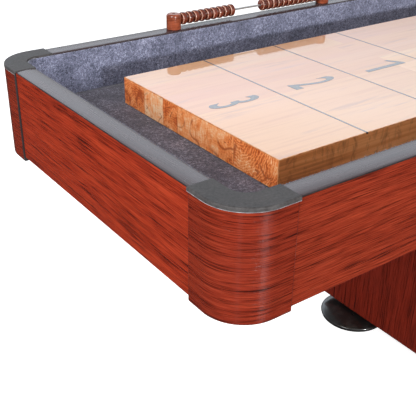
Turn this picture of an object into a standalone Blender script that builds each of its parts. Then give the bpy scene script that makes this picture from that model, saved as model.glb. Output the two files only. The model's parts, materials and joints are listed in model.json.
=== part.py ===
"""Shuffleboard table: a long laminated board in a carpeted cradle, on two cabinet pedestals.

Metres, +Z up. The origin is on the floor under the table's centre, and X runs along the table.
Left is -X, right is +X, front is -Y and back is +Y.
"""

import math

import bmesh
import bpy

# Overall sizes
TABLE_LENGTH = 3.6576  # over the end aprons, 144 in
TABLE_WIDTH = 0.671  # over the side aprons
RAIL_TOP = 0.7874  # 31 in above the floor
GAP = 0.0003  # left between pieces that touch

# Cradle: the rails, the aprons under them and the corner pieces that join them
RAIL_WIDTH = 0.035
RAIL_THICKNESS = 0.008
RAIL_LIP = 0.0025  # height of the rail edge that shows above the apron
LIP_DEPTH = 0.004  # width of that edge
APRON_BOTTOM = RAIL_TOP - 0.152
CARPET_THICKNESS = 0.003
APRON_THICKNESS = RAIL_WIDTH - CARPET_THICKNESS - GAP
CORNER_RADIUS = 0.060  # of the apron faces, about which every corner curve is drawn
CORNER_STEPS = 10
BLOCK_REACH = 0.0885  # from the outer corner along each side
BLOCK_PROUD = 0.0015
BLOCK_BOTTOM = RAIL_TOP - 0.1595
CAP_REACH = 0.0905
CAP_PROUD = 0.0028
CAP_SKIRT = 0.0065  # height of the edge that hangs outside the block
CAP_RISE = 0.0008  # above the rails

# Playing board
BOARD_WIDTH = 0.4064
BOARD_THICKNESS = 0.0477
BOARD_TOP = RAIL_TOP - 0.0299
END_GUTTER = 0.174  # from the outer end face to the board's end

# Floor of the gutters, and the two bearers beneath it
FLOOR_THICKNESS = 0.018
BEARER = 0.045  # side of the square bearers
BEARER_OFFSET = 0.200
BEARER_END = 0.120  # how far short of the table's ends the bearers stop

# Pedestals
PEDESTAL_OVERHANG = 0.786  # from the table's end face to the pedestal's outer face
PEDESTAL_DEPTH = 0.420  # along X
PEDESTAL_WIDTH = 0.560  # along Y
PEDESTAL_BOTTOM = 0.030
END_PANEL = 0.018
BACK_PANEL = 0.018
TOP_PANEL = 0.018
BOTTOM_PANEL = 0.025
DOOR_THICKNESS = 0.019
DOOR_GAP = 0.002
KNOB_HEIGHT = 0.470
KNOB_INSET = 0.035  # from the free edge of the door

# Hinges and catch
BARREL_RADIUS = 0.0035
LEAF_WIDTH = 0.014
LEAF_THICKNESS = 0.0015
HINGE_HEIGHT = 0.050
HINGE_INSET = 0.090  # from the door's top and bottom to the hinges' middles
CATCH_SIZE = (0.040, 0.015, 0.012)

# Levelers
FOOT_RADIUS = 0.083
FOOT_INSET = 0.026  # from the pedestal's end faces
FOOT_OFFSET = 0.180  # from the table's centre line
STUD_RADIUS = 0.006
STUD_CLEARANCE = 0.0006

# Bead scorers
SCORER_START = 0.3522  # from the table's end to the first post
SCORER_SPAN = 0.3886  # between the posts' middles
POST_RADIUS = 0.014
POST_HEIGHT = 0.029
ROD_RADIUS = 0.002
ROD_HEIGHT = 0.017  # above the rail
ROD_SEAT = 0.007  # how deep the rod goes into each post
BEAD_RADIUS = 0.0118
BEAD_WIDTH = 0.0133
BEAD_BORE = 0.0026
SHORT_STACK = 9
SHORT_PITCH = 0.0144  # these beads stand a little apart
LONG_STACK = 12
LONG_PITCH = 0.0135

HALF_LENGTH = TABLE_LENGTH / 2
HALF_WIDTH = TABLE_WIDTH / 2
HALF_PEDESTAL = PEDESTAL_WIDTH / 2
BOARD_BOTTOM = BOARD_TOP - BOARD_THICKNESS
CARPET_TOP = BOARD_BOTTOM - GAP
CARPET_BOTTOM = CARPET_TOP - CARPET_THICKNESS
FLOOR_TOP = CARPET_BOTTOM - GAP
FLOOR_BOTTOM = FLOOR_TOP - FLOOR_THICKNESS
BEARER_BOTTOM = FLOOR_BOTTOM - GAP - BEARER
PEDESTAL_TOP = BEARER_BOTTOM - GAP
RAIL_BOTTOM = RAIL_TOP - RAIL_THICKNESS

# Steps round the turned pieces
FOOT_STEPS = 24
POST_STEPS = 16
BEAD_STEPS = 12
SMALL_STEPS = 12

SIDES = {"front": -1, "back": 1}
ENDS = {"left": -1, "right": 1}


def clear_scene():
    for obj in list(bpy.data.objects):
        bpy.data.objects.remove(obj)


def material(name, color, roughness, metallic=0.0):
    made = bpy.data.materials.new(name)
    made.use_nodes = True
    shader = made.node_tree.nodes["Principled BSDF"]
    shader.inputs["Base Color"].default_value = (*color, 1.0)
    shader.inputs["Roughness"].default_value = roughness
    shader.inputs["Metallic"].default_value = metallic
    return made


def make_materials():
    return {
        "maple": material("maple", (0.75, 0.50, 0.30), 0.12),
        "panel": material("panel", (0.42, 0.29, 0.17), 0.70),
        "carpet": material("carpet", (0.17, 0.17, 0.21), 0.95),
        "cherry": material("cherry", (0.34, 0.05, 0.025), 0.22),
        "rail": material("rail", (0.045, 0.047, 0.05), 0.30),
        "cap": material("cap", (0.06, 0.06, 0.063), 0.50),
        "pedestal": material("pedestal", (0.22, 0.03, 0.015), 0.28),
        "leveler": material("leveler", (0.012, 0.012, 0.013), 0.25),
        "steel": material("steel", (0.62, 0.62, 0.62), 0.28, 1.0),
        "bead": material("bead", (0.26, 0.05, 0.02), 0.25),
    }


def new_object(name, mesh, skin, location=(0, 0, 0), rotation=(0, 0, 0)):
    obj = bpy.data.objects.new(name, mesh)
    obj.location = location
    obj.rotation_euler = rotation
    bpy.context.scene.collection.objects.link(obj)
    if not mesh.materials:
        mesh.materials.append(skin)
    return obj


def mesh_from(name, bm):
    bmesh.ops.recalc_face_normals(bm, faces=bm.faces)
    mesh = bpy.data.meshes.new(name)
    bm.to_mesh(mesh)
    bm.free()
    return mesh


def hide(helper):
    """Marks a cutter, or a shape that another object joins to itself."""
    helper.hide_render = True
    helper.display_type = "WIRE"


def soften(obj, width):
    bevel = obj.modifiers.new("Edges", "BEVEL")
    bevel.width = width
    bevel.segments = 1
    bevel.limit_method = "ANGLE"
    bevel.angle_limit = math.radians(40)


def slab(name, low, high, skin, edge=0.0, pivot=None):
    """A box between two corners, with its origin at pivot, or at its middle."""
    origin = pivot or [(a + b) / 2 for a, b in zip(low, high)]
    bm = bmesh.new()
    bmesh.ops.create_cube(bm, size=1.0)
    for vertex in bm.verts:
        for axis in range(3):
            end = high[axis] if vertex.co[axis] > 0 else low[axis]
            vertex.co[axis] = end - origin[axis]
    obj = new_object(name, mesh_from(name, bm), skin, origin)
    if edge:
        soften(obj, edge)
    return obj


def turned(name, profile, steps, skin, location, rotation=(0, 0, 0), ring=False):
    """A profile of (radius, height), listed from top to bottom of its outer side, turned about Z."""
    mesh = bpy.data.meshes.new(name)
    count = len(profile)
    edges = [(i, (i + 1) % count) for i in range(count if ring else count - 1)]
    mesh.from_pydata([(radius, 0, height) for radius, height in profile], edges, [])
    obj = new_object(name, mesh, skin, location, rotation)
    screw = obj.modifiers.new("Turn", "SCREW")
    screw.steps = screw.render_steps = steps
    screw.use_merge_vertices = True
    screw.merge_threshold = 0.00001
    screw.use_smooth_shade = True
    return obj


def sweep_mesh(name, section, stations, closed=False):
    """A section of (outward offset, height) points carried along stations of (point, outward)."""
    bm = bmesh.new()
    rings = []
    for (x, y), (out_x, out_y) in stations:
        ring = [bm.verts.new((x + out_x * off, y + out_y * off, z)) for off, z in section]
        rings.append(ring)
    pairs = list(zip(rings, rings[1:])) + ([(rings[-1], rings[0])] if closed else [])
    for here, there in pairs:
        for i, vertex in enumerate(here):
            after = (i + 1) % len(here)
            bm.faces.new((vertex, here[after], there[after], there[i]))
    if not closed:
        bm.faces.new(rings[0])
        bm.faces.new(reversed(rings[-1]))
    return mesh_from(name, bm)


def corner_arc(center, start_angle):
    """Stations round a quarter turn of the apron face, from start_angle on."""
    stations = []
    for step in range(CORNER_STEPS + 1):
        angle = start_angle + math.pi / 2 * step / CORNER_STEPS
        outward = (math.cos(angle), math.sin(angle))
        point = [c + CORNER_RADIUS * o for c, o in zip(center, outward)]
        stations.append((point, outward))
    return stations


def corner_stations(reach):
    """Stations round the corner at the origin, whose sides run along +X and +Y."""
    arc = corner_arc((CORNER_RADIUS, CORNER_RADIUS), math.pi)
    return [((0, reach), (-1, 0)), *arc, ((reach, 0), (0, -1))]


def rounded_rectangle():
    """Stations all round the apron faces, anticlockwise."""
    stations = []
    for quarter, (side_x, side_y) in enumerate(((1, 1), (-1, 1), (-1, -1), (1, -1))):
        center = (
            side_x * (HALF_LENGTH - CORNER_RADIUS),
            side_y * (HALF_WIDTH - CORNER_RADIUS),
        )
        stations += corner_arc(center, quarter * math.pi / 2)
    return stations


def flat_in_cradle(name, inset, bottom, top, skin):
    """A level sheet that fills the cradle to a given inset from the apron faces."""
    bm = bmesh.new()
    outline = [
        bm.verts.new((x - out_x * inset, y - out_y * inset, bottom))
        for (x, y), (out_x, out_y) in rounded_rectangle()
    ]
    face = bm.faces.new(outline)
    raised = bmesh.ops.extrude_face_region(bm, geom=[face])["geom"]
    verts = [item for item in raised if isinstance(item, bmesh.types.BMVert)]
    bmesh.ops.translate(bm, verts=verts, vec=(0, 0, top - bottom))
    return new_object(name, mesh_from(name, bm), skin)


def corners():
    """Name, outer corner and turn of each of the four corners."""
    for side, end, quarter in (
        ("front", "left", 0),
        ("front", "right", 1),
        ("back", "right", 2),
        ("back", "left", 3),
    ):
        place = (ENDS[end] * HALF_LENGTH, SIDES[side] * HALF_WIDTH, 0)
        yield f"{side}_{end}", place, (0, 0, quarter * math.pi / 2)


def apron_section():
    """Apron, with the rebate that the rail sits in."""
    seat = RAIL_BOTTOM - GAP
    lip_top = RAIL_TOP - RAIL_LIP - GAP
    lip_inside = -LIP_DEPTH + GAP
    return [
        (0, APRON_BOTTOM),
        (0, lip_top),
        (lip_inside, lip_top),
        (lip_inside, seat),
        (-APRON_THICKNESS, seat),
        (-APRON_THICKNESS, APRON_BOTTOM),
    ]


def rail_section():
    """Rail, thinner where it laps over the apron's outer lip, with eased top edges."""
    ease = 0.001
    return [
        (0, RAIL_TOP - RAIL_LIP),
        (0, RAIL_TOP - ease),
        (-ease, RAIL_TOP),
        (-RAIL_WIDTH + ease, RAIL_TOP),
        (-RAIL_WIDTH, RAIL_TOP - ease),
        (-RAIL_WIDTH, RAIL_BOTTOM),
        (-LIP_DEPTH, RAIL_BOTTOM),
        (-LIP_DEPTH, RAIL_TOP - RAIL_LIP),
    ]


def block_section():
    """Corner block, rounded along its lower outer edge and rebated for the cap."""
    seat = RAIL_BOTTOM - GAP
    lip_top = RAIL_TOP - RAIL_LIP - GAP
    lip_inside = -LIP_DEPTH + GAP
    radius = 0.004
    edge = [
        (
            BLOCK_PROUD - radius + radius * math.cos(angle),
            BLOCK_BOTTOM + radius + radius * math.sin(angle),
        )
        for angle in (math.radians(-90 + 30 * step) for step in range(4))
    ]
    return [
        (-APRON_THICKNESS, BLOCK_BOTTOM),
        *edge,
        (BLOCK_PROUD, lip_top),
        (lip_inside, lip_top),
        (lip_inside, seat),
        (-APRON_THICKNESS, seat),
    ]


def cap_section():
    """Corner cap, rounded along its upper outer edge, with a thin skirt outside the block."""
    top = RAIL_TOP + CAP_RISE
    radius = 0.0025
    ease = 0.001
    edge = [
        (
            CAP_PROUD - radius + radius * math.cos(angle),
            top - radius + radius * math.sin(angle),
        )
        for angle in (math.radians(30 * step) for step in range(4))
    ]
    skirt_inside = BLOCK_PROUD + GAP
    return [
        (CAP_PROUD, top - CAP_SKIRT),
        *edge,
        (-RAIL_WIDTH + ease, top),
        (-RAIL_WIDTH, top - ease),
        (-RAIL_WIDTH, RAIL_BOTTOM),
        (-LIP_DEPTH, RAIL_BOTTOM),
        (-LIP_DEPTH, RAIL_TOP - RAIL_LIP),
        (skirt_inside, RAIL_TOP - RAIL_LIP),
        (skirt_inside, top - CAP_SKIRT),
    ]


def make_cradle(skins):
    """Aprons, rails, corner blocks and corner caps."""
    for side, sign in SIDES.items():
        for name, section, reach, skin in (
            ("apron", apron_section(), BLOCK_REACH, "cherry"),
            ("rail", rail_section(), CAP_REACH, "rail"),
        ):
            end = HALF_LENGTH - reach - GAP
            line = [((x, sign * HALF_WIDTH), (0, sign)) for x in (-end, end)]
            mesh = sweep_mesh(f"side_{name}_{side}", section, line)
            new_object(f"side_{name}_{side}", mesh, skins[skin])
    for end, sign in ENDS.items():
        for name, section, reach, skin in (
            ("apron", apron_section(), BLOCK_REACH, "cherry"),
            ("rail", rail_section(), CAP_REACH, "rail"),
        ):
            stop = HALF_WIDTH - reach - GAP
            line = [((sign * HALF_LENGTH, y), (sign, 0)) for y in (-stop, stop)]
            mesh = sweep_mesh(f"end_{name}_{end}", section, line)
            new_object(f"end_{name}_{end}", mesh, skins[skin])
    block = sweep_mesh("corner_block", block_section(), corner_stations(BLOCK_REACH))
    cap = sweep_mesh("corner_cap", cap_section(), corner_stations(CAP_REACH))
    for name, place, turn in corners():
        new_object(f"corner_block_{name}", block, skins["cherry"], place, turn)
        new_object(f"corner_cap_{name}", cap, skins["cap"], place, turn)


def make_bed(skins):
    """Floor panel, its bearers, both carpets and the playing board."""
    flat_in_cradle("gutter_floor", APRON_THICKNESS + GAP, FLOOR_BOTTOM, FLOOR_TOP, skins["panel"])
    flat_in_cradle("floor_carpet", RAIL_WIDTH + GAP, CARPET_BOTTOM, CARPET_TOP, skins["carpet"])
    wall = [
        (-APRON_THICKNESS - GAP, CARPET_BOTTOM),
        (-APRON_THICKNESS - GAP, RAIL_BOTTOM - GAP),
        (-RAIL_WIDTH, RAIL_BOTTOM - GAP),
        (-RAIL_WIDTH, CARPET_BOTTOM),
    ]
    mesh = sweep_mesh("wall_carpet", wall, rounded_rectangle(), closed=True)
    new_object("wall_carpet", mesh, skins["carpet"])
    reach = HALF_LENGTH - BEARER_END
    for side, sign in SIDES.items():
        middle = sign * BEARER_OFFSET
        low = (-reach, middle - BEARER / 2, BEARER_BOTTOM)
        high = (reach, middle + BEARER / 2, BEARER_BOTTOM + BEARER)
        slab(f"bearer_{side}", low, high, skins["panel"], 0.002)
    end = HALF_LENGTH - END_GUTTER
    low = (-end, -BOARD_WIDTH / 2, BOARD_BOTTOM)
    high = (end, BOARD_WIDTH / 2, BOARD_TOP)
    slab("playing_board", low, high, skins["maple"], 0.001)


def make_door(end, sign, hinge_x, inner_x, skins):
    """Door with its knob, hung on two hinges at the outer end panel."""
    bottom = PEDESTAL_BOTTOM + BOTTOM_PANEL + DOOR_GAP
    top = PEDESTAL_TOP - TOP_PANEL - DOOR_GAP
    axis_y = -HALF_PEDESTAL - GAP - BARREL_RADIUS
    pivot = bpy.data.objects.new(f"door_pivot_{end}", None)
    pivot.location = (hinge_x, axis_y, 0)
    bpy.context.scene.collection.objects.link(pivot)
    edges = sorted((hinge_x - sign * DOOR_GAP / 2, inner_x + sign * DOOR_GAP))
    low = (edges[0], -HALF_PEDESTAL, bottom)
    high = (edges[1], -HALF_PEDESTAL + DOOR_THICKNESS, top)
    door = slab(f"door_{end}", low, high, skins["pedestal"], 0.001)
    knob = turned(
        f"door_knob_{end}",
        [(0, 0.024), (0.008, 0.0235), (0.0125, 0.020), (0.014, 0.0155), (0.0115, 0.011),
         (0.006, 0.008), (0.006, 0.0025), (0.009, 0.0), (0, 0)],
        POST_STEPS,
        skins["steel"],
        (inner_x + sign * (DOOR_GAP + KNOB_INSET), -HALF_PEDESTAL - GAP, KNOB_HEIGHT),
        (math.pi / 2, 0, 0),
    )
    for piece in (door, knob):
        piece.parent = pivot
        piece.location.x -= pivot.location.x
        piece.location.y -= pivot.location.y
    for name, height in (("lower", bottom + HINGE_INSET), ("upper", top - HINGE_INSET)):
        make_hinge(f"hinge_{end}_{name}", (hinge_x, axis_y, height), sign, skins["steel"])
    width, depth, height = CATCH_SIZE
    middle = inner_x + sign * (DOOR_GAP + KNOB_INSET)
    behind = -HALF_PEDESTAL + DOOR_THICKNESS + GAP
    ceiling = PEDESTAL_TOP - TOP_PANEL - GAP
    low = (middle - width / 2, behind, ceiling - height)
    high = (middle + width / 2, behind + depth, ceiling)
    slab(f"door_catch_{end}", low, high, skins["leveler"], 0.001)


def make_hinge(name, place, sign, skin):
    """Barrel on the door's axis, with the leaf that is screwed to the end panel."""
    barrel = turned(
        name,
        [(0, HINGE_HEIGHT / 2), (BARREL_RADIUS, HINGE_HEIGHT / 2),
         (BARREL_RADIUS, -HINGE_HEIGHT / 2), (0, -HINGE_HEIGHT / 2)],
        SMALL_STEPS,
        skin,
        place,
    )
    x, y, z = place
    ends = sorted((x, x + sign * (LEAF_WIDTH + BARREL_RADIUS)))
    back = y + BARREL_RADIUS
    half = HINGE_HEIGHT / 2 - 0.0005
    low = (ends[0], back - LEAF_THICKNESS, z - half)
    high = (ends[1], back, z + half)
    leaf = slab(f"{name}_leaf", low, high, skin)
    hide(leaf)
    join = barrel.modifiers.new("Leaf", "BOOLEAN")
    join.operation = "UNION"
    join.object = leaf


def foot_profile():
    """Broad pad with a bevelled rim, a low dome, a collar and the threaded stud."""
    stud_top = PEDESTAL_BOTTOM + BOTTOM_PANEL - 0.001
    return [
        (0, stud_top),
        (STUD_RADIUS - 0.001, stud_top),
        (STUD_RADIUS, stud_top - 0.001),
        (STUD_RADIUS, PEDESTAL_BOTTOM - GAP),
        (0.016, PEDESTAL_BOTTOM - GAP),
        (0.016, 0.0225),
        (0.045, 0.0200),
        (0.068, 0.0160),
        (FOOT_RADIUS - 0.003, 0.0105),
        (FOOT_RADIUS, 0.0070),
        (FOOT_RADIUS - 0.002, 0.0),
        (0, 0.0),
    ]


def make_pedestal(end, sign, skins):
    """Cabinet of five panels with a door at the front, on four levelers."""
    outer = sign * (HALF_LENGTH - PEDESTAL_OVERHANG)
    inner = outer - sign * PEDESTAL_DEPTH
    outer_inside = outer - sign * END_PANEL
    inner_inside = inner + sign * END_PANEL
    for name, first, second in (
        ("outer", outer, outer_inside),
        ("inner", inner, inner_inside),
    ):
        x_low, x_high = sorted((first, second))
        low = (x_low, -HALF_PEDESTAL, PEDESTAL_BOTTOM)
        high = (x_high, HALF_PEDESTAL, PEDESTAL_TOP)
        slab(f"pedestal_{end}_{name}_panel", low, high, skins["pedestal"], 0.001)
    x_low, x_high = sorted((outer_inside - sign * GAP, inner_inside + sign * GAP))
    bottom_top = PEDESTAL_BOTTOM + BOTTOM_PANEL
    top_bottom = PEDESTAL_TOP - TOP_PANEL
    inside_back = HALF_PEDESTAL - BACK_PANEL - GAP
    slab(
        f"pedestal_{end}_back_panel",
        (x_low, HALF_PEDESTAL - BACK_PANEL, PEDESTAL_BOTTOM),
        (x_high, HALF_PEDESTAL, PEDESTAL_TOP),
        skins["pedestal"],
    )
    slab(
        f"pedestal_{end}_top_panel",
        (x_low, -HALF_PEDESTAL, top_bottom),
        (x_high, inside_back, PEDESTAL_TOP),
        skins["pedestal"],
    )
    base = slab(
        f"pedestal_{end}_bottom_panel",
        (x_low, -HALF_PEDESTAL, PEDESTAL_BOTTOM),
        (x_high, inside_back, bottom_top),
        skins["pedestal"],
    )
    for row, foot_x in (
        ("outer", outer - sign * FOOT_INSET),
        ("inner", inner + sign * FOOT_INSET),
    ):
        for side, side_sign in SIDES.items():
            place = (foot_x, side_sign * FOOT_OFFSET, 0)
            name = f"leveler_{end}_{row}_{side}"
            turned(name, foot_profile(), FOOT_STEPS, skins["leveler"], place)
            bore_for_stud(base, f"stud_hole_{end}_{row}_{side}", place, skins["leveler"])
    make_door(end, sign, outer_inside - sign * DOOR_GAP / 2, inner_inside, skins)


def bore_for_stud(panel, name, place, skin):
    radius = STUD_RADIUS + STUD_CLEARANCE
    top = PEDESTAL_BOTTOM + BOTTOM_PANEL + 0.01
    bottom = PEDESTAL_BOTTOM - 0.01
    profile = [(0, top), (radius, top), (radius, bottom), (0, bottom)]
    cutter = turned(name, profile, FOOT_STEPS, skin, place)
    hide(cutter)
    hole = panel.modifiers.new(name, "BOOLEAN")
    hole.operation = "DIFFERENCE"
    hole.object = cutter


def post_profile():
    shoulder = POST_HEIGHT - 0.0072
    return [
        (0, POST_HEIGHT - 0.001),
        (0.0035, POST_HEIGHT - 0.001),
        (0.0045, POST_HEIGHT),
        (0.0068, POST_HEIGHT - 0.0005),
        (POST_RADIUS - 0.0015, shoulder + 0.0015),
        (POST_RADIUS, shoulder - 0.001),
        (POST_RADIUS, 0),
        (0, 0),
    ]


def stack_length(count, pitch):
    return (count - 1) * pitch + BEAD_WIDTH


def stack_profile(count, pitch):
    """Outer side of a row of round-edged beads, then the bore back up through them."""
    half = stack_length(count, pitch) / 2
    flat = BEAD_RADIUS - 0.0035
    points = []
    for bead in range(count):
        top = half - bead * pitch
        bottom = top - BEAD_WIDTH
        points += [
            (flat, top - 0.0002),
            (BEAD_RADIUS, top - 0.0038),
            (BEAD_RADIUS, bottom + 0.0038),
            (flat, bottom + 0.0002),
        ]
    return [*points, (BEAD_BORE, -half + 0.0002), (BEAD_BORE, half - 0.0002)]


def make_scorer(side, sign, skins):
    """Two posts with a rod between them, and the beads pushed along it to either post.

    The scorer on the back rail is near the left end, and the one on the front rail is turned
    half round from it, near the right end.
    """
    along = (math.pi / 2, 0, math.pi / 2)
    y = sign * (HALF_WIDTH - RAIL_WIDTH / 2)
    near_x = sign * (-HALF_LENGTH + SCORER_START)
    far_x = near_x + sign * SCORER_SPAN
    foot = RAIL_TOP + GAP
    height = foot + ROD_HEIGHT
    for name, x, inward in (("first", near_x, sign), ("last", far_x, -sign)):
        post = turned(
            f"scorer_{side}_post_{name}", post_profile(), POST_STEPS, skins["bead"], (x, y, foot)
        )
        start = POST_RADIUS - ROD_SEAT - GAP
        radius = ROD_RADIUS + GAP
        cutter = turned(
            f"rod_seat_{side}_{name}",
            [(0, start + 0.03), (radius, start + 0.03), (radius, start), (0, start)],
            SMALL_STEPS,
            skins["steel"],
            (x, y, height),
            (0, inward * math.pi / 2, 0),
        )
        hide(cutter)
        seat = post.modifiers.new("Rod seat", "BOOLEAN")
        seat.operation = "DIFFERENCE"
        seat.object = cutter
    half_rod = SCORER_SPAN / 2 - POST_RADIUS + ROD_SEAT
    turned(
        f"scorer_{side}_rod",
        [(0, half_rod), (ROD_RADIUS, half_rod), (ROD_RADIUS, -half_rod), (0, -half_rod)],
        SMALL_STEPS,
        skins["steel"],
        ((near_x + far_x) / 2, y, height),
        along,
    )
    for name, count, pitch, post_x, inward in (
        ("short", SHORT_STACK, SHORT_PITCH, near_x, sign),
        ("long", LONG_STACK, LONG_PITCH, far_x, -sign),
    ):
        middle = post_x + inward * (POST_RADIUS + GAP + stack_length(count, pitch) / 2)
        turned(
            f"beads_{side}_{name}", stack_profile(count, pitch), BEAD_STEPS, skins["bead"],
            (middle, y, height), along, ring=True,
        )


def main():
    clear_scene()
    skins = make_materials()
    make_cradle(skins)
    make_bed(skins)
    for end, sign in ENDS.items():
        make_pedestal(end, sign, skins)
    for side, sign in SIDES.items():
        make_scorer(side, sign, skins)


main()
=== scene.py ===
"""Looks of the shuffleboard table: finer pieces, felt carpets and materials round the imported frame.

Metres, +Z up, in the frame's own axes: X runs along the table, left is -X and front is -Y.
Sizes and places come from the frame's boxes. The named values below are the details that the
frame leaves plain, such as edge roundings, strip widths, numerals and colours.
"""

import json
import math
import random

import bmesh
import bpy
from mathutils import Euler, Matrix, Vector, noise

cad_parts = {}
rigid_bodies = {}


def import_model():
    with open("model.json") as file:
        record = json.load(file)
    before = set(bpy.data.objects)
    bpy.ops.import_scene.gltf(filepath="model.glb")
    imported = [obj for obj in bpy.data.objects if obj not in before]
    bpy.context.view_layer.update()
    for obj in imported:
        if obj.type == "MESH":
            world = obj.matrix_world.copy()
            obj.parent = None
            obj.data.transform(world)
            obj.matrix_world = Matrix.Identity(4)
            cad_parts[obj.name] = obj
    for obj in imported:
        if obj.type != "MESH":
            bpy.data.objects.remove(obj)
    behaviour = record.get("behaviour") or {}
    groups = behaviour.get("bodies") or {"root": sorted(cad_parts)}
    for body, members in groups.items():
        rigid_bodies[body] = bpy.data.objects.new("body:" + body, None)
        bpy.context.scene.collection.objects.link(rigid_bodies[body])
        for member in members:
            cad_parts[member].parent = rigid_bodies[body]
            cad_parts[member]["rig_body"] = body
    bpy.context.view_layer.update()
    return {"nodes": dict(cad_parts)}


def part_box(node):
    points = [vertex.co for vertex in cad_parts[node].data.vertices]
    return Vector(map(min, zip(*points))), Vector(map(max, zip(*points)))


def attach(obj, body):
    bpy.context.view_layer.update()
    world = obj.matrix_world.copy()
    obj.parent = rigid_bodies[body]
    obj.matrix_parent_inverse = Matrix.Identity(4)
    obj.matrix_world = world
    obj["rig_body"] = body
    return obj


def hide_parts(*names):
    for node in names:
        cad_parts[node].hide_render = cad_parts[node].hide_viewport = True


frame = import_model()

SIDES = {"front": -1, "back": 1}
ENDS = {"left": -1, "right": 1}

# Cradle, from the frame
GAP = 0.0003  # between pieces that touch
APRON_LOW, APRON_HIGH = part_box("side_apron_back")
RAIL_LOW, RAIL_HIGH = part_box("side_rail_back")
BLOCK_LOW, BLOCK_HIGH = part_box("corner_block_back_left")
CAP_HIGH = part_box("corner_cap_back_left")[1]
HALF_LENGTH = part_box("end_apron_right")[1].x
HALF_WIDTH = APRON_HIGH.y
APRON_THICKNESS = APRON_HIGH.y - APRON_LOW.y
APRON_BOTTOM, LIP_TOP = APRON_LOW.z, APRON_HIGH.z
RAIL_TOP = RAIL_HIGH.z
RAIL_WIDTH = RAIL_HIGH.y - RAIL_LOW.y
RAIL_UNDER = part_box("wall_carpet")[1].z + GAP
LIP_UNDER = LIP_TOP + GAP  # underside of the rail's lip, which lies on the apron's edge
LIP_DEPTH = 0.004
CROWN = 0.0010  # how much higher the rail's middle is than its edges
CORNER_RADIUS = 0.060
CORNER_STEPS = 32
BLOCK_REACH = HALF_LENGTH - APRON_HIGH.x - GAP
BLOCK_PROUD = BLOCK_HIGH.y - HALF_WIDTH
BLOCK_BOTTOM = BLOCK_LOW.z
CAP_REACH = HALF_LENGTH - RAIL_HIGH.x - GAP
CAP_PROUD = CAP_HIGH.y - HALF_WIDTH
CAP_TOP = CAP_HIGH.z
CAP_BOTTOM = CAP_TOP - 0.0062  # of the skirt that hangs outside the block
CAP_ROLL = 0.0026  # over which the cap's top edge is rounded
SEAT = ((-LIP_DEPTH + GAP, LIP_TOP, 0), (-LIP_DEPTH + GAP, RAIL_UNDER - GAP, 0),
        (-APRON_THICKNESS, RAIL_UNDER - GAP, 0))  # the section's step that the rail rests on
# Each apron, rail and block shows its own stretch of the grain: these are metres along the
# grain from one piece to the next, and the climbs are metres across it per metre along
APRON_STRIDE, APRON_CLIMB = 5.3, 0.31
RAIL_STRIDE = 4.1
BLOCK_START, BLOCK_STRIDE, BLOCK_CLIMB = 31.0, 2.9, 0.27
WORN = 0.0008  # width of the rubbed lines along edges
LOOSE_CORNER = (-1, 1)  # this block stands a little proud of its neighbours, with an open joint
LOOSE_PROUD, LOOSE_GAP = 0.0011, 0.0018

# Playing board
BOARD_LOW, BOARD_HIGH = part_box("playing_board")
STRIP_WIDTHS = (0.066, 0.057, 0.041, 0.051, 0.094, 0.0974)  # from the back edge
STRIP_TONES = (-0.050, 0.085, -0.055, 0.030, 0.015, -0.030)  # of their end grain
STRIP_CURLS = (0.7, 0.2, 0.5, 0.3, 0.3, 1.0)  # how strongly the end grain shows its rings
GLUE_LINE = 0.0007
ZONE = 0.1664  # length of a scoring zone
ZONES = 3
LINE_WIDTH = 0.0032
PAINT = 0.00018  # thickness of the lines and numerals
PAINT_FLOOR = BOARD_HIGH.z + 0.00004
NOTCH = 0.0022  # how far a score line runs down over the board's edge
NUMERAL_LENGTH = 0.096  # along the table, as the numerals are stretched
NUMERAL_WIDTH = 0.030
NUMERAL_TEXT_WIDTH = 0.56  # of the letter before scaling
NUMERAL_WEIGHT = 0.013  # how much the strokes are thickened, in parts of the letter size

# Carpets
FELT_STEP = 0.012
FELT_WAVE = 0.0005
FELT_TOP = RAIL_TOP - 0.0028  # the wall felt laps up over the inner face of the rail
FIBRES = 6500
THIRDS = (0, 2.094, 4.189)  # of a turn, for the corners of a fibre's root

# Scorers
ROD_RADIUS = 0.002
BEAD_RADIUS = 0.0118
BEAD_WIDTH = 0.0133
BEAD_BORE = 0.0026
DISC_HALF = 0.0048  # half of a bead's thickness outside its hub
DISC_CREST = 0.0020  # and of the flat part of its rim
DISC_SHOULDER = 0.0085
RING_INSIDE, RING_OUTSIDE = 0.0098, 0.0109  # between them a bead's faces carry a pale ring of painted highlight
HOLE_RADIUS = 0.0024
STACKS = {"short": (9, 0.0144), "long": (12, 0.0135)}  # count and pitch

SKINS = {}  # the materials, by the names the pieces use


# ---------------------------------------------------------------- materials


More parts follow.
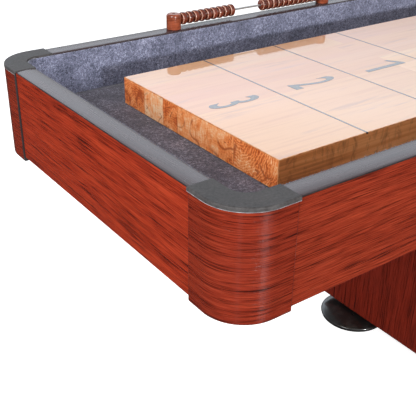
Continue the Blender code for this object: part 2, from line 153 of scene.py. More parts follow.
class Nodes:
    """A node tree, built with calls that return sockets."""

    def __init__(self, tree):
        self.tree = tree

    def feed(self, socket, value):
        if isinstance(value, bpy.types.NodeSocket):
            self.tree.links.new(value, socket)
        else:
            socket.default_value = value

    def add(self, kind, inputs=(), **settings):
        node = self.tree.nodes.new(f"ShaderNode{kind}")
        for key, value in settings.items():
            setattr(node, key, value)
        for key, value in dict(inputs).items():
            self.feed(node.inputs[key], value)
        return node

    def place(self):
        """Object coordinates in metres."""
        return self.add("TexCoord").outputs["Object"]

    def coordinate(self, kind):
        """UV, Object or Generated coordinates, as three sockets."""
        found = self.add("TexCoord").outputs[kind]
        return self.add("SeparateXYZ", {0: found}).outputs

    def join(self, x=0.0, y=0.0, z=0.0):
        return self.add("CombineXYZ", {0: x, 1: y, 2: z}).outputs[0]

    def math(self, operation, first, second=0.0, third=0.0):
        inputs = {0: first, 1: second, 2: third}
        return self.add("Math", inputs, operation=operation).outputs[0]

    def times(self, first, second, plus=None):
        """first * second, or first * second + plus."""
        if plus is None:
            return self.math("MULTIPLY", first, second)
        return self.math("MULTIPLY_ADD", first, second, plus)

    def scaled(self, sockets, factors, shift=0.0):
        """The coordinates times their factors, joined to a vector."""
        return self.join(*(self.times(s, f, shift) for s, f in zip(sockets, factors)))

    def noise(self, vector, detail=3.0, roughness=0.5, scale=1.0, distortion=0.0):
        inputs = {"Vector": vector, "Scale": scale, "Detail": detail, "Roughness": roughness,
                  "Distortion": distortion}
        return self.add("TexNoise", inputs).outputs[0]

    def cloud(self, scale, detail=3.0, roughness=0.5, distortion=0.0):
        """Noise over the object's own coordinates."""
        return self.noise(self.place(), detail, roughness, scale, distortion)

    def spread(self, value, low, high, to_low=0.0, to_high=1.0, **settings):
        """The value's range from low to high, stretched to another range and clamped."""
        inputs = {0: value, 1: low, 2: high, 3: to_low, 4: to_high}
        return self.add("MapRange", inputs, **settings).outputs[0]

    def mix(self, factor, first, second, mode="MIX"):
        node = self.add("Mix", data_type="RGBA", blend_type=mode)
        for index, value in ((0, factor), (6, first), (7, second)):
            if index and isinstance(value, tuple):
                value = (*value, 1.0)
            self.feed(node.inputs[index], value)
        return node.outputs[2]

    def ramp(self, factor, *stops):
        node = self.add("ValToRGB", {0: factor})
        elements = node.color_ramp.elements
        while len(elements) < len(stops):
            elements.new(1.0)
        for element, (place, color) in zip(elements, stops):
            element.position = place
            element.color = (*color, 1.0)
        return node.outputs[0]


class Skin(Nodes):
    """A material's node tree, which ends in one shader."""

    def __init__(self, name, **constants):
        self.material = bpy.data.materials.new(name)
        self.material.use_nodes = True
        super().__init__(self.material.node_tree)
        self.shader = self.tree.nodes["Principled BSDF"]
        for key, value in constants.items():
            self.shader.inputs[key.replace("_", " ")].default_value = value

    def bump(self, height, distance):
        inputs = {"Height": height, "Distance": distance, "Strength": 1.0}
        self.feed(self.shader.inputs["Normal"], self.add("Bump", inputs).outputs[0])

    def finish(self, color, roughness):
        self.feed(self.shader.inputs["Base Color"], color)
        self.feed(self.shader.inputs["Roughness"], roughness)
        return self.material


def laminate(name, dark, middle, light, upright=False, fineness=1.0):
    """Printed wood grain under a satin film, running along U, or up Z on the pedestals."""
    n = Skin(name, Specular_IOR_Level=0.32)
    if upright:
        x, y, z = n.coordinate("Object")
        along, across = z, n.math("ADD", x, y)
    else:
        along, across, _ = n.coordinate("UV")
    along, across = (n.times(part, fineness) for part in (along, across))
    drift = n.noise(n.scaled((along, across), (1.8, 7.0)), 2.0)
    across = n.times(drift, 0.016, across)
    band = n.noise(n.scaled((along, across), (2.0, 60.0)), 3.0)
    streak = n.noise(n.scaled((along, across), (14.0, 520.0), 3.7), 4.0, 0.66)
    tone = n.times(band, 0.34, n.times(streak, 0.66))
    color = n.ramp(tone, (0.38, dark), (0.47, middle), (0.61, light))
    pore = n.spread(n.noise(n.scaled((along, across), (17.0, 800.0), 9.1), 3.0), 0.47, 0.66)
    color = n.mix(n.times(pore, 0.55), color, dark)
    vein = n.noise(n.scaled((along, across), (7.0, 150.0), 17.3), 4.0, 0.7)
    vein = n.times(n.spread(vein, 0.50, 0.64, 0.0, 0.80), n.spread(streak, 0.60, 0.42))
    color = n.mix(vein, color, tuple(0.50 * c for c in dark))
    haze = n.cloud(9.0, 3.0, 0.6)
    n.bump(n.times(pore, -0.6, streak), 0.00012)
    return n.finish(color, n.spread(haze, 0.3, 0.7, 0.17, 0.25))


def worn_edge():
    """Laminate rubbed pale along an edge, in broken stretches."""
    n = Skin("worn_edge", Specular_IOR_Level=0.1)
    rub = n.cloud(55.0, 4.0, 0.7)
    color = n.ramp(rub, (0.44, (0.070, 0.008, 0.004)), (0.60, (0.120, 0.015, 0.008)),
                   (0.72, (0.240, 0.070, 0.050)))
    n.bump(rub, 0.0002)
    return n.finish(color, 0.75)


def rail_laminate():
    """Dark film with fine lines along the rail, and faint rubbing marks."""
    n = Skin("rail_laminate")
    along, across, _ = n.coordinate("UV")
    line = n.noise(n.scaled((along, across), (9.0, 430.0)), 5.0, 0.75)
    rub = n.noise(n.scaled((along, across), (24.0, 70.0), 4.0), 4.0, 0.7)
    color = n.ramp(line, (0.36, (0.036, 0.022, 0.024)), (0.64, (0.080, 0.050, 0.055)))
    scuff = n.spread(rub, 0.58, 0.74, 0.0, 0.30)
    color = n.mix(scuff, color, (0.17, 0.14, 0.14))
    rough = n.times(line, 0.05, n.times(rub, 0.10, 0.19))
    n.bump(line, 0.00002)
    return n.finish(color, rough)


def cap_plastic():
    """Moulded matt plastic with a fine grain and pale scuffs."""
    n = Skin("cap_plastic", Specular_IOR_Level=0.28)
    grain = n.cloud(1400.0, 2.0, 0.5)
    cloud = n.cloud(45.0, 4.0, 0.6)
    x, y, z = n.coordinate("Object")
    drag = n.noise(n.scaled((x, y, z), (30.0, 260.0, 30.0)), 3.0)
    fleck = n.cloud(260.0, 4.0, 0.75)
    color = n.ramp(n.times(fleck, 0.6, n.times(cloud, 0.4)),
                   (0.36, (0.036, 0.033, 0.033)), (0.64, (0.090, 0.083, 0.083)))
    color = n.mix(n.spread(drag, 0.56, 0.75, 0.0, 0.35), color, (0.13, 0.13, 0.13))
    n.bump(grain, 0.00012)
    return n.finish(color, n.spread(cloud, 0.3, 0.7, 0.48, 0.60))


def chipped_lip():
    """The cap's lower lip: pale chips, on a light grey that is a painted highlight along the lip."""
    n = Skin("chipped_lip", Specular_IOR_Level=0.4)
    rub = n.cloud(38.0, 3.0, 0.6)
    chip = n.cloud(240.0, 3.0, 0.7)
    color = n.ramp(rub, (0.38, (0.160, 0.162, 0.170)), (0.60, (0.480, 0.485, 0.500)))
    color = n.mix(n.spread(chip, 0.60, 0.68), color, (0.80, 0.80, 0.80))
    n.bump(chip, 0.0003)
    return n.finish(color, 0.5)


def stave_grain(n, across_scale):
    """Grain along X that starts afresh in each stave: fine lines and broad cloud."""
    stave = n.add("Attribute", attribute_name="stave").outputs["Fac"]
    x, y, z = n.coordinate("Object")
    key = n.times(stave, 41.0)
    sway = n.noise(n.join(n.times(x, 1.6, key), n.times(y, 9.0)), 2.0)
    side = n.times(sway, 0.030, n.math("ADD", y, z))
    fine = n.noise(
        n.join(n.times(x, 5.0, key), n.times(side, across_scale), key),
        4.0, 0.6,
    )
    cloud = n.noise(
        n.join(n.times(x, 3.2, key), n.times(side, 17.0), key), 3.0, 0.5
    )
    return stave, fine, cloud, (x, y, z)


def maple_top():
    """Long grain of the board under a thick clear coat: strips of cream, pink and tan."""
    n = Skin("maple_top", Coat_Weight=1.0, Coat_Roughness=0.025, Coat_IOR=1.52)
    stave, fine, cloud, (x, y, _) = stave_grain(n, 120.0)
    tint = n.add("TexWhiteNoise", {"W": stave}, noise_dimensions="1D").outputs["Value"]
    color = n.ramp(tint, (0.0, (0.97, 0.560, 0.270)), (0.35, (0.73, 0.300, 0.145)),
                   (0.65, (0.87, 0.460, 0.180)), (1.0, (0.62, 0.245, 0.115)))
    color = n.mix(n.spread(cloud, 0.35, 0.65, 0.0, 0.40), color, (0.88, 0.480, 0.230))
    color = n.mix(n.spread(fine, 0.50, 0.66, 0.0, 0.30), color, (0.62, 0.245, 0.110))
    shadow = n.join(n.times(x, 6.0), n.times(y, 52.0), stave)
    shadow = n.spread(n.noise(shadow, 4.0, 0.65), 0.57, 0.70, 0.0, 0.50)
    color = n.mix(shadow, color, (0.52, 0.250, 0.165))
    return n.finish(color, n.spread(cloud, 0.3, 0.7, 0.35, 0.50))


def maple_side():
    """The board's long edge: brown, with darker smudges across the grain."""
    n = Skin("maple_side", Specular_IOR_Level=0.3)
    _, fine, cloud, (x, y, z) = stave_grain(n, 190.0)
    tone = n.times(fine, 0.55, n.times(cloud, 0.45))
    color = n.ramp(tone, (0.36, (0.38, 0.110, 0.030)), (0.50, (0.70, 0.235, 0.065)),
                   (0.64, (0.88, 0.360, 0.125)))
    smudge = n.noise(n.scaled((x, y, z), (60.0, 60.0, 26.0)), 5.0, 0.70, distortion=0.8)
    smudge = n.spread(smudge, 0.50, 0.68, 0.0, 0.70)
    color = n.mix(smudge, color, (0.24, 0.070, 0.020))
    n.bump(fine, 0.0002)
    return n.finish(color, 0.45)


def maple_end():
    """End grain: each strip has its tone, and curls about its own heart as far as it may."""
    n = Skin("maple_end", Coat_Weight=0.25, Coat_Roughness=0.15)
    known = {name: n.add("Attribute", attribute_name=name).outputs["Fac"]
             for name in ("stave", "heart_y", "heart_z", "curl", "tone")}
    _, y, z = n.coordinate("Object")
    flat = n.join(y, z, known["stave"])
    wobble = n.noise(flat, 3.0, 0.6, scale=60.0)
    away_y = n.math("POWER", n.math("ABSOLUTE", n.math("SUBTRACT", y, known["heart_y"])), 2.0)
    away_z = n.math("POWER", n.math("ABSOLUTE", n.math("SUBTRACT", z, known["heart_z"])), 2.0)
    away = n.math("SQRT", n.math("ADD", away_y, away_z))
    away = n.times(wobble, 0.020, away)
    ring = n.math("PINGPONG", n.times(away, 1 / 0.0024), 1.0)
    ring = n.spread(ring, 0.35, 0.85, -0.5, 0.5)
    ray = n.noise(n.join(n.times(y, 480.0), n.times(z, 60.0)), 3.0)
    speck = n.noise(flat, 3.0, 0.7, scale=300.0)
    blotch = n.noise(flat, 3.0, 0.6, scale=30.0, distortion=0.7)
    tone = n.times(ray, 0.34, n.times(speck, 0.24))
    tone = n.times(blotch, 0.48, tone)
    tone = n.times(n.times(ring, known["curl"]), 0.11, tone)
    tone = n.math("ADD", tone, known["tone"])
    color = n.ramp(tone, (0.37, (0.46, 0.070, 0.010)), (0.47, (0.84, 0.220, 0.048)),
                   (0.56, (0.97, 0.370, 0.125)), (0.68, (1.0, 0.680, 0.420)))
    contour = n.noise(flat, 1.0, 0.4, scale=19.0)
    contour = n.math("ABSOLUTE", n.math("SUBTRACT", contour, 0.5))
    patch = n.spread(n.noise(n.join(y, z, 7.0), 2.0, scale=24.0), 0.50, 0.60, 0.0, 0.80)
    check = n.times(n.spread(contour, 0.006, 0.034, 1.0, 0.0), patch)
    knot = n.spread(n.noise(flat, 2.0, 0.5, scale=70.0, distortion=1.2), 0.66, 0.71, 0.0, 0.8)
    color = n.mix(n.math("MAXIMUM", check, knot), color, (0.40, 0.070, 0.012))
    n.bump(tone, 0.0005)
    return n.finish(color, 0.45)


def maple_arris():
    """The rounded edge of the board, where the coat is thin and the wood shows orange."""
    n = Skin("maple_arris", Specular_IOR_Level=0.3)
    tone = n.cloud(90.0, 4.0, 0.6)
    color = n.ramp(tone, (0.36, (0.48, 0.150, 0.045)), (0.64, (0.74, 0.330, 0.130)))
    n.bump(tone, 0.0001)
    return n.finish(color, 0.4)


def plain_wood(name, dark, light, grain, rough, coat=0.0):
    """Turned or sawn wood, with its grain along the axis whose factor is small."""
    n = Skin(name, Coat_Weight=coat, Coat_Roughness=0.06)
    x, y, z = n.coordinate("Object")
    fine = n.noise(n.scaled((x, y, z), grain), 4.0, 0.6)
    cloud = n.cloud(70.0, 3.0, 0.5)
    tone = n.times(fine, 0.6, n.times(cloud, 0.4))
    n.bump(fine, 0.00012)
    return n.finish(n.ramp(tone, (0.36, dark), (0.64, light)), n.spread(cloud, 0.3, 0.7, *rough))


def particle_board():
    """Pressed chips of several browns."""
    n = Skin("particle_board")
    where = n.place()
    chips = n.add("TexVoronoi", {"Vector": where, "Scale": 330.0}).outputs["Color"]
    chip = n.add("SeparateXYZ", {0: chips}).outputs[0]
    dust = n.cloud(60.0, 4.0, 0.7)
    tone = n.times(chip, 0.5, n.times(dust, 0.5))
    color = n.ramp(tone, (0.2, (0.20, 0.118, 0.055)), (0.5, (0.40, 0.27, 0.15)),
                   (0.8, (0.56, 0.42, 0.26)))
    n.bump(chip, 0.0002)
    return n.finish(color, 0.78)


def felt(name, *tones):
    """Heathered felt: dark and pale fibres matted together."""
    n = Skin(name, Sheen_Weight=0.2, Sheen_Roughness=0.6, Specular_IOR_Level=0.15)
    fibre = n.cloud(620.0, 4.0, 0.72, distortion=1.2)
    tuft = n.cloud(230.0, 3.0, 0.6, distortion=0.9)
    cloud = n.cloud(26.0, 3.0, 0.6)
    tone = n.times(fibre, 0.55, n.times(tuft, 0.45))
    tone = n.times(n.math("SUBTRACT", cloud, 0.5), 0.24, tone)
    color = n.ramp(tone, *zip((0.37, 0.46, 0.54, 0.64), tones))
    n.bump(tone, 0.0016)
    return n.finish(color, 0.95)


def fibre_pale():
    n = Skin("fibre_pale", Specular_IOR_Level=0.2)
    tone = n.cloud(500.0, 2.0, 0.5)
    color = n.ramp(tone, (0.4, (0.22, 0.23, 0.30)), (0.6, (0.62, 0.63, 0.68)))
    return n.finish(color, 0.9)


def metal(name, color, rough):
    """Plated metal with fine turning marks and cloudy wear."""
    n = Skin(name, Metallic=1.0)
    mark = n.cloud(1500.0, 2.0, 0.5)
    cloud = n.cloud(90.0, 4.0, 0.6)
    shade = n.mix(n.spread(cloud, 0.4, 0.7, 0.0, 0.35), color, tuple(0.72 * c for c in color))
    n.bump(mark, 0.00004)
    return n.finish(shade, n.spread(cloud, 0.3, 0.7, *rough))


def molded(name, color, rough, coat=0.0):
    """Moulded plastic or paint with slight orange peel and dust."""
    n = Skin(name, Coat_Weight=coat, Coat_Roughness=0.08)
    peel = n.cloud(420.0, 2.0, 0.5)
    dust = n.cloud(38.0, 5.0, 0.7)
    shade = n.mix(n.spread(dust, 0.50, 0.80, 0.0, 0.18), color, (0.20, 0.19, 0.18))
    n.bump(peel, 0.00010)
    return n.finish(shade, n.spread(dust, 0.3, 0.7, *rough))


def painted_mark():
    """Blue-grey screen print under the board's coat."""
    n = Skin("painted_mark", Coat_Weight=1.0, Coat_Roughness=0.025, Coat_IOR=1.52)
    tone = n.cloud(240.0, 3.0, 0.6)
    color = n.ramp(tone, (0.35, (0.075, 0.080, 0.085)), (0.65, (0.135, 0.140, 0.148)))
    return n.finish(color, 0.5)


def make_materials():
    cherry = ((0.080, 0.008, 0.003), (0.285, 0.024, 0.0075), (0.420, 0.046, 0.014))
    # The side aprons get a darker, greyer copy of the same laminate: painted shade that dims the long
    # faces against the ends.
    side = [tuple(c * k for c, k in zip(color, (0.80, 0.95, 1.12))) for color in cherry]
    # The corner blocks get a darker, greyer copy of the same laminate: painted shade on their rounded
    # faces.
    block = [tuple(c * k for c, k in zip(color, (0.67, 0.74, 0.90))) for color in cherry]
    # The pedestals and doors get a darker copy of the apron laminate: painted shade for their place
    # under the table top.
    deep = ((0.050, 0.005, 0.002), (0.170, 0.013, 0.005), (0.260, 0.022, 0.009))
    return {
        "cherry": laminate("cherry_laminate", *cherry, fineness=1.1),
        "side_film_painted_shade": laminate("side_laminate_painted_shade", *side, fineness=1.25),
        "block": laminate("block_laminate_painted_shade", *block, fineness=1.35),
        "pedestal": laminate("pedestal_laminate", *deep, upright=True),
        "worn": worn_edge(),
        "rail": rail_laminate(),
        "cap": cap_plastic(),
        "lip": chipped_lip(),
        "top": maple_top(),
        "side": maple_side(),
        "end": maple_end(),
        "arris": maple_arris(),
        "glue": plain_wood("glue_line", (0.34, 0.075, 0.018), (0.66, 0.190, 0.055),
                           (60.0, 60.0, 60.0), (0.5, 0.6)),
        "panel": particle_board(),
        "bearer": plain_wood("bearer_wood", (0.42, 0.27, 0.13), (0.66, 0.48, 0.28),
                             (4.0, 160.0, 160.0), (0.65, 0.8)),
        "felt": felt("gutter_felt", (0.032, 0.036, 0.060), (0.118, 0.127, 0.192),
                     (0.208, 0.221, 0.323), (0.510, 0.535, 0.705)),
        # The gutter floor takes a darker, warmer copy of the wall felt: painted shade, with a painted
        # warm bounce from the board.
        "floor_felt": felt("gutter_floor_felt_painted_shade", (0.022, 0.020, 0.031), (0.068, 0.063, 0.093),
                           (0.138, 0.127, 0.174), (0.450, 0.425, 0.500)),
        "fibre": fibre_pale(),
        "mark": painted_mark(),
        "bead": plain_wood("bead_wood", (0.055, 0.009, 0.004), (0.230, 0.046, 0.020),
                           (40.0, 420.0, 420.0), (0.20, 0.30), coat=0.6),
        # A pale ring on each bead's faces: painted highlight on the shoulders.
        "bead_painted_highlight": plain_wood("bead_painted_highlight", (0.50, 0.220, 0.140), (0.86, 0.560, 0.430),
                               (40.0, 420.0, 420.0), (0.25, 0.35), coat=0.6),
        "post": plain_wood("post_wood", (0.150, 0.030, 0.012), (0.420, 0.100, 0.044),
                           (60.0, 60.0, 520.0), (0.26, 0.38), coat=0.15),
        "steel": metal("plated_steel", (0.80, 0.80, 0.79), (0.30, 0.42)),
        "nickel": metal("satin_nickel", (0.60, 0.57, 0.52), (0.26, 0.38)),
        "black": molded("leveler_black", (0.009, 0.008, 0.008), (0.26, 0.36), coat=0.5),
        "catch": molded("catch_plastic", (0.020, 0.020, 0.022), (0.40, 0.55)),
        # Near black: the score lines' print over the board's edge and the rails' dark edge band, and
        # painted shade in the gap under the rails' lip, in the blocks' joints and down the posts'
        # screw holes.
        "dark": molded("dark_edge_and_painted_shade", (0.010, 0.008, 0.009), (0.6, 0.75)),
    }


# ------------------------------------------------------------ mesh helpers


def add_object(name, data):
    obj = bpy.data.objects.new(name, data)
    bpy.context.scene.collection.objects.link(obj)
    return obj


def finish_mesh(name, bm, skins, sharp=38.0, stands_for=(), body="table"):
    """Makes the object of a bmesh, shades it, and lets it ride on its body."""
    bmesh.ops.recalc_face_normals(bm, faces=bm.faces)
    mesh = bpy.data.meshes.new(name)
    bm.to_mesh(mesh)
    bm.free()
    for skin in skins:
        mesh.materials.append(SKINS[skin])
    mesh.shade_smooth()
    mesh.set_sharp_from_angle(angle=math.radians(sharp))
    obj = add_object(name, mesh)
    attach(obj, body)
    if stands_for:
        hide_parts(*stands_for)
    return obj


def finish_piece(node, bm, skins, sharp=38.0):
    """Makes the one piece that takes a frame node's place."""
    body = frame["nodes"][node]["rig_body"]
    return finish_mesh(f"{node}_piece", bm, skins, sharp, [node], body)


def soften(obj):
    """Rounds an object's edges a little, and levels its shading."""
    bevel = obj.modifiers.new("Edges", "BEVEL")
    bevel.width = 0.0003
    bevel.segments = 2
    bevel.limit_method = "ANGLE"
    bevel.angle_limit = math.radians(50)
    level_shading(obj)


def level_shading(obj):
    level = obj.modifiers.new("Shading", "WEIGHTED_NORMAL")
    level.keep_sharp = True


def eased(corners, steps=4):
    """A closed outline of (a, b, ease) corners, each rounded over its ease with a smooth curve."""
    outline = []
    for i, (a, b, ease) in enumerate(corners):
        here = Vector((a, b))
        if not ease:
            outline.append(tuple(here))
            continue
        before = Vector(corners[i - 1][:2])
        after = Vector(corners[(i + 1) % len(corners)][:2])
        start = here + (before - here).normalized() * ease
        stop = here + (after - here).normalized() * ease
        for step in range(steps + 1):
            t = step / steps
            outline.append(tuple(start.lerp(here, t).lerp(here.lerp(stop, t), t)))
    return outline


def girth_of(section):
    """Running length round a closed section, which starts and ends at its first point."""
    lengths = [0.0]
    for i, point in enumerate(section):
        lengths.append(lengths[-1] + math.dist(point, section[(i + 1) % len(section)]))
    return lengths


def swept(section, stations, closed=False, start=(0.0, 0.0)):
    """Carries a section of (outward offset, height) along stations of (point, outward).

    The UVs are metres along the stations and round the section, from start on.
    """
    bm = bmesh.new()
    layer = bm.loops.layers.uv.new("UVMap")
    rings = [
        [bm.verts.new((x + out_x * off, y + out_y * off, z)) for off, z in section]
        for (x, y), (out_x, out_y) in stations
    ]
    round_it = girth_of(section)
    count = len(section)
    along = start[0]
    last = len(stations) if closed else len(stations) - 1
    for k in range(last):
        after = (k + 1) % len(stations)
        step = math.dist(stations[k][0], stations[after][0])
        for i in range(count):
            j = (i + 1) % count
            corners = (
                (rings[k][i], along, round_it[i]),
                (rings[k][j], along, round_it[i + 1]),
                (rings[after][j], along + step, round_it[i + 1]),
                (rings[after][i], along + step, round_it[i]),
            )
            face = bm.faces.new([corner[0] for corner in corners])
            for loop, (_, u, v) in zip(face.loops, corners):
                loop[layer].uv = (u, v + start[1])
        along += step
    if not closed:
        for ring in (rings[0], list(reversed(rings[-1]))):
            face = bm.faces.new(ring)
            for loop in face.loops:
                loop[layer].uv = (loop.vert.co.x + loop.vert.co.y, loop.vert.co.z)
    return bm


def corner_line(side_x, side_y, reach, proud=0.0):
    """Stations round one corner of the cradle, from the end face to the side face.

    The first and last stretches are as wide as the worn line along a joint.
    """
    center_x = side_x * (HALF_LENGTH - CORNER_RADIUS)
    center_y = side_y * (HALF_WIDTH - CORNER_RADIUS)
    steps = [reach, reach - WORN]
    line = [((side_x * HALF_LENGTH, side_y * (HALF_WIDTH - step)), (side_x, 0)) for step in steps]
    for step in range(CORNER_STEPS + 1):
        angle = math.pi / 2 * step / CORNER_STEPS
        out = (side_x * math.cos(angle), side_y * math.sin(angle))
        line.append(((center_x + CORNER_RADIUS * out[0], center_y + CORNER_RADIUS * out[1]), out))
    steps.reverse()
    line += [((side_x * (HALF_LENGTH - step), side_y * HALF_WIDTH), (0, side_y)) for step in steps]
    return [((x + proud * side_x, y), out) for (x, y), out in line]


def turned(profile, place, axis="Z", steps=48, bm=None):
    """Turns a profile of (radius, height), listed top to bottom, about an axis through place.

    No two points in a row may both lie on the axis.
    """
    bm = bm or bmesh.new()
    layer = bm.loops.layers.uv.verify()
    turn = {"Z": Matrix.Identity(3), "X": Euler((math.pi / 2, 0, math.pi / 2)).to_matrix(),
            "-Y": Euler((math.pi / 2, 0, 0)).to_matrix()}[axis]
    rings = []
    for radius, height in profile:
        around = 1 if radius == 0 else steps
        ring = []
        for k in range(around):
            angle = 2 * math.pi * k / steps
            spot = Vector((radius * math.cos(angle), radius * math.sin(angle), height))
            ring.append(bm.verts.new(Vector(place) + turn @ spot))
        rings.append(ring)
    down = 0.0
    for (upper, lower), (high, low) in zip(zip(rings, rings[1:]), zip(profile, profile[1:])):
        drop = math.dist(high, low)
        for k in range(steps):
            after = (k + 1) % steps
            corners = [ring[at % len(ring)]
                       for ring, at in ((upper, k), (lower, k), (lower, after), (upper, after))]
            face = bm.faces.new(list(dict.fromkeys(corners)))
            for loop in face.loops:
                loop[layer].uv = (k / steps, down if loop.vert in upper else down + drop)
        down += drop
    return bm


def add_slab(bm, low, high, index=0):
    made = bmesh.ops.create_cube(bm, size=1.0)["verts"]
    for vert in made:
        for axis in range(3):
            vert.co[axis] = high[axis] if vert.co[axis] > 0 else low[axis]
    for face in {face for vert in made for face in vert.link_faces}:
        face.material_index = index


# ----------------------------------------------------------------- cradle


def straight_runs(kind, corner_reach):
    """For each apron or rail: its node, its sign, half its length, and a maker of its line."""
    for side, sign in SIDES.items():
        yield (f"side_{kind}_{side}", sign, HALF_LENGTH - corner_reach - GAP,
               lambda x, sign=sign: ((x, sign * HALF_WIDTH), (0, sign)))
    for end, sign in ENDS.items():
        yield (f"end_{kind}_{end}", sign, HALF_WIDTH - corner_reach - GAP,
               lambda y, sign=sign: ((sign * HALF_LENGTH, y), (sign, 0)))


def make_aprons():
    """Aprons with eased lower edges, each with a stretch of grain of its own."""
    section = eased([
        (0, APRON_BOTTOM, 0.0012),
        (0, LIP_TOP, 0.0004),
        *SEAT,
        (-APRON_THICKNESS, APRON_BOTTOM, 0.0012),
    ])
    for index, (node, sign, reach, at) in enumerate(straight_runs("apron", BLOCK_REACH)):
        if node.startswith("side"):
            # The side aprons take the darker copy of the laminate, which is painted shade.
            skin, line = "side_film_painted_shade", (at(-reach), at(reach))
        else:
            loose = LOOSE_GAP if sign == LOOSE_CORNER[0] else 0
            skin, line = "cherry", (at(reach - loose), at(-reach))
        start = APRON_STRIDE * index
        bm = swept(section, line, start=(start, APRON_CLIMB * start))
        for face in bm.faces:
            if len(face.verts) == 4 and face.calc_center_median().z < APRON_BOTTOM + WORN:
                face.material_index = 1
        finish_piece(node, bm, (skin, "worn"))


def make_rails():
    """Rails with a crown that rolls over at both edges, and a dark lower lip: a dark edge band, with
    painted shade for the gap beneath it.
    """
    inner = -RAIL_WIDTH
    edge = RAIL_TOP - CROWN
    crest = []
    for step in range(11):
        t = step / 10
        crest.append((-0.0016 + (0.0040 + inner) * t, RAIL_TOP - CROWN * (2 * t - 1) ** 2, 0))
    section = eased([
        (0, LIP_UNDER, 0),
        (0, LIP_UNDER + 0.0009, 0),
        (-0.0004, edge - 0.0004, 0.0003),
        *crest,
        (inner + 0.0008, edge - 0.0008, 0.0005),
        (inner, edge - 0.0022, 0.0004),
        (inner, RAIL_UNDER, 0.0004),
        (-LIP_DEPTH, RAIL_UNDER, 0),
        (-LIP_DEPTH, LIP_UNDER, 0),
    ])
    for index, (node, _, reach, at) in enumerate(straight_runs("rail", CAP_REACH)):
        bm = swept(section, (at(-reach), at(reach)), start=(RAIL_STRIDE * index, 0))
        for face in bm.faces:
            x, y, z = face.calc_center_median()
            depth = max(abs(x) - HALF_LENGTH, abs(y) - HALF_WIDTH)
            outer_edge = depth > -0.0009
            below = z < LIP_UNDER + 0.0008 and depth > inner + 0.0005
            # The outer edge and the underside are near black: a dark edge band, and painted shade for
            # the gap under the lip.
            if len(face.verts) == 4 and (outer_edge or below):
                face.material_index = 1
        finish_piece(node, bm, ("rail", "dark"), 30)


def make_corners():
    """Corner blocks with the grain carried round them, and the caps that lap over them."""
    block = eased([
        (-APRON_THICKNESS, BLOCK_BOTTOM, 0.002),
        (BLOCK_PROUD, BLOCK_BOTTOM, 0.004),
        (BLOCK_PROUD, LIP_TOP, 0.0004),
        *SEAT,
    ], 6)
    inside = BLOCK_PROUD + GAP
    cap = eased([
        (CAP_PROUD, CAP_BOTTOM, 0),
        (CAP_PROUD, CAP_BOTTOM + WORN, 0),
        (CAP_PROUD, CAP_TOP, CAP_ROLL),
        (-RAIL_WIDTH, CAP_TOP, 0.0012),
        (-RAIL_WIDTH, RAIL_UNDER, 0.0004),
        (-LIP_DEPTH, RAIL_UNDER, 0),
        (-LIP_DEPTH, LIP_UNDER, 0),
        (inside, LIP_UNDER, 0),
        (inside, CAP_BOTTOM, 0),
    ], 6)
    start = BLOCK_START
    for side, side_y in SIDES.items():
        for end, side_x in ENDS.items():
            proud = LOOSE_PROUD if (side_x, side_y) == LOOSE_CORNER else 0.0
            line = corner_line(side_x, side_y, BLOCK_REACH, proud)
            bm = swept(block, line, start=(start, BLOCK_CLIMB * start))
            for face in bm.faces:
                # The end faces at the joints are near black: a dark joint, with painted shade in its
                # gap.
                if len(face.verts) > 4:
                    face.material_index = 1
                elif is_short(face):
                    face.material_index = 2
            # The blocks' laminate is the darker copy, which is painted shade.
            soften(finish_piece(f"corner_block_{side}_{end}", bm, ("block", "dark", "worn")))
            bm = swept(cap, corner_line(side_x, side_y, CAP_REACH))
            for face in bm.faces:
                low = face.calc_center_median().z - CAP_BOTTOM
                # The lowest band of the cap's skirt takes the pale lip: chips and a painted
                # highlight.
                if len(face.verts) == 4 and low < 0.9 * WORN and is_outer(face):
                    face.material_index = 1
            soften(finish_piece(f"corner_cap_{side}_{end}", bm, ("cap", "lip")))
            start += BLOCK_STRIDE


def is_short(face):
    """Whether a face of a sweep is one of the narrow ones beside a joint."""
    spans = [(edge.verts[0].co - edge.verts[1].co).to_2d().length for edge in face.edges]
    along = [span for span in spans if span > 1e-6]
    return bool(along) and min(along) < 1.2 * WORN and any(
        abs(v.co.x) > HALF_LENGTH - 1e-5 or abs(v.co.y) > HALF_WIDTH - 1e-5 for v in face.verts
    )


def is_outer(face):
    center = face.calc_center_median()
    past_x = max(0, abs(center.x) - HALF_LENGTH + CORNER_RADIUS)
    past_y = max(0, abs(center.y) - HALF_WIDTH + CORNER_RADIUS)
    return math.hypot(past_x, past_y) > CORNER_RADIUS + 0.5 * BLOCK_PROUD


# ------------------------------------------------------------------ board


def strip_lines():
    """Y of the strips' edges, from the back of the board to its front."""
    lines = [BOARD_HIGH.y]
    for width in STRIP_WIDTHS:
        lines.append(lines[-1] - width)
    lines[-1] = BOARD_LOW.y
    return lines


def stave_plan(chance):
    """For each strip, the X of its stave joints and each stave's own number."""
    plan = []
    for _ in STRIP_WIDTHS:
        joints = [BOARD_LOW.x]
        while joints[-1] < BOARD_HIGH.x:
            joints.append(round(joints[-1] + chance.uniform(0.22, 0.60), 3))
        if BOARD_HIGH.x - joints[-2] < 0.15:
            joints.pop(-2)
        joints[-1] = BOARD_HIGH.x
        plan.append((joints, [chance.random() for _ in joints[1:]]))
    return plan


def strip_hearts(edges, chance):
    """Where the heart of each strip's tree lies: in the strip for some, far off for others."""
    hearts = []
    middle = (BOARD_LOW.z + BOARD_HIGH.z) / 2
    for index, (back, front) in enumerate(zip(edges, edges[1:])):
        across = chance.uniform(front, back)
        near = index in (0, 2, len(edges) - 2)
        reach = chance.uniform(0.02, 0.05) if near else chance.uniform(0.15, 0.30)
        hearts.append((across, middle + chance.choice((-1, 1)) * reach))
    return hearts


